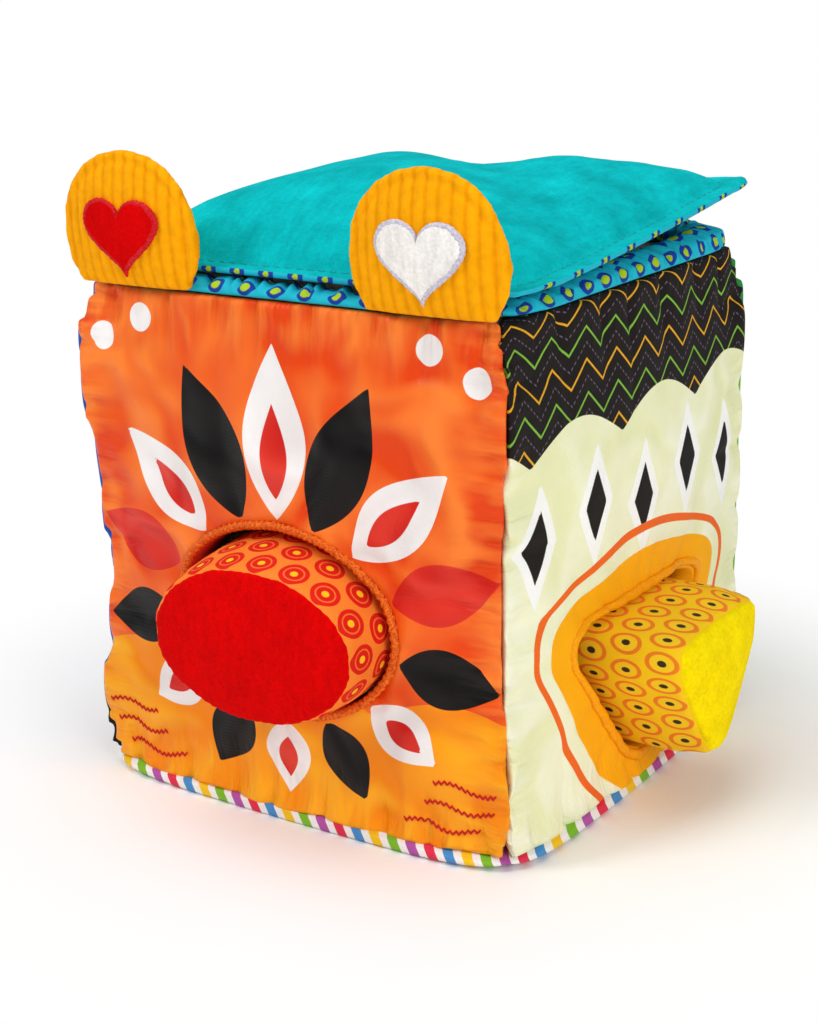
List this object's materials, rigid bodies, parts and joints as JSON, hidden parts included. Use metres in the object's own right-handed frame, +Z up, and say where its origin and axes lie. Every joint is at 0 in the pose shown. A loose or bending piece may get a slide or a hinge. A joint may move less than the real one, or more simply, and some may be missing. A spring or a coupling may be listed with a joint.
{
  "type": "soft activity cube",
  "caption": "Soft padded shape-sorter cube with a shaped opening in each wall, a stuffed block in each, a plush flap lid and corduroy ear tabs.",
  "frame": {"origin": "middle of the flat base, on the surface that the cube stands on", "axes": "+Z up, -Y out of the front wall with the ear tabs above it, +X out of the right wall"},
  "size_m": [0.245, 0.2373, 0.2323],
  "materials": {
    "orange_satin": "satin, quilted over wadding",
    "cream_cotton": "matt woven, quilted over wadding",
    "blue_cotton": "matt woven, quilted over wadding",
    "green_cotton": "matt woven, quilted over wadding",
    "striped_cotton": "white woven with coloured stripes",
    "lining_cotton": "plain woven",
    "turquoise_cotton": "printed woven, gathered",
    "amber_cotton": "woven, overlocked edge",
    "teal_plush": "short pile plush",
    "orange_corduroy": "wide wale corduroy",
    "red_plush": "short pile plush",
    "yellow_plush": "short pile plush",
    "blue_plush": "short pile plush",
    "green_plush": "short pile plush",
    "white_plush": "short pile, zigzag edge",
    "orange_print": "printed woven",
    "yellow_print": "printed woven",
    "polyester_wadding": "loose fibre",
    "sound_plastic": "moulded",
    "bell_metal": "plated"
  },
  "bodies": {
    "cube": {"front_panel": "orange_satin", "front_wadding": "polyester_wadding", "front_opening_binding": "amber_cotton", "right_panel": "cream_cotton", "right_wadding": "polyester_wadding", "right_opening_binding": "amber_cotton", "back_panel": "green_cotton", "back_wadding": "polyester_wadding", "back_opening_binding": "turquoise_cotton", "left_panel": "blue_cotton", "left_wadding": "polyester_wadding", "left_opening_binding": "amber_cotton", "base_cover": "striped_cotton", "base_board": "polyester_wadding", "inner_lining": "lining_cotton", "mouth_collar": "turquoise_cotton", "collar_filling": "polyester_wadding", "lid_hinge_strip": "turquoise_cotton"},
    "lid": {"lid_top": "teal_plush", "lid_wadding": "polyester_wadding", "lid_lining": "turquoise_cotton"},
    "left_ear": {"left_ear_front": "orange_corduroy", "left_ear_back": "orange_corduroy", "left_ear_wadding": "polyester_wadding", "left_ear_heart": "red_plush"},
    "right_ear": {"right_ear_front": "orange_corduroy", "right_ear_back": "orange_corduroy", "right_ear_wadding": "polyester_wadding", "right_ear_heart": "white_plush"},
    "oval_block": {"oval_block_face": "red_plush", "oval_block_gusset": "orange_print", "oval_block_back": "orange_print", "oval_block_filling": "polyester_wadding", "oval_block_squeaker": "sound_plastic"},
    "triangle_block": {"triangle_block_face": "yellow_plush", "triangle_block_gusset": "yellow_print", "triangle_block_back": "yellow_print", "triangle_block_filling": "polyester_wadding", "triangle_block_rattle": "sound_plastic"},
    "round_block": {"round_block_face": "green_plush", "round_block_gusset": "striped_cotton", "round_block_back": "striped_cotton", "round_block_filling": "polyester_wadding", "round_block_crinkle_film": "sound_plastic"},
    "square_block": {"square_block_face": "blue_plush", "square_block_gusset": "yellow_print", "square_block_back": "yellow_print", "square_block_filling": "polyester_wadding", "square_block_bell": "bell_metal"}
  },
  "joints": [
    {"name": "lid_hinge", "type": "hinge", "parent": "cube", "child": "lid", "pos_m": [-0.0909, 0, 0.1898], "axis": [0, -1, 0], "range_deg": [0, 200]},
    {"name": "left_ear_fold", "type": "hinge", "parent": "cube", "child": "left_ear", "pos_m": [-0.0575, -0.0894, 0.1843], "axis": [1, 0, 0], "range_deg": [0, 75], "stiffness_Nm_per_rad": 0.02},
    {"name": "right_ear_fold", "type": "hinge", "parent": "cube", "child": "right_ear", "pos_m": [0.062, -0.0894, 0.1843], "axis": [1, 0, 0], "range_deg": [0, 75], "stiffness_Nm_per_rad": 0.02},
    {"name": "oval_block_slide", "type": "slide", "parent": "cube", "child": "oval_block", "axis": [0.087, -0.9948, -0.0523], "range_m": [-0.02, 0.075]},
    {"name": "triangle_block_slide", "type": "slide", "parent": "cube", "child": "triangle_block", "axis": [1, 0, 0], "range_m": [-0.028, 0.075]},
    {"name": "round_block_slide", "type": "slide", "parent": "cube", "child": "round_block", "axis": [0, 1, 0], "range_m": [-0.018, 0.075]},
    {"name": "square_block_slide", "type": "slide", "parent": "cube", "child": "square_block", "axis": [-1, 0, 0], "range_m": [-0.018, 0.075]}
  ]
}
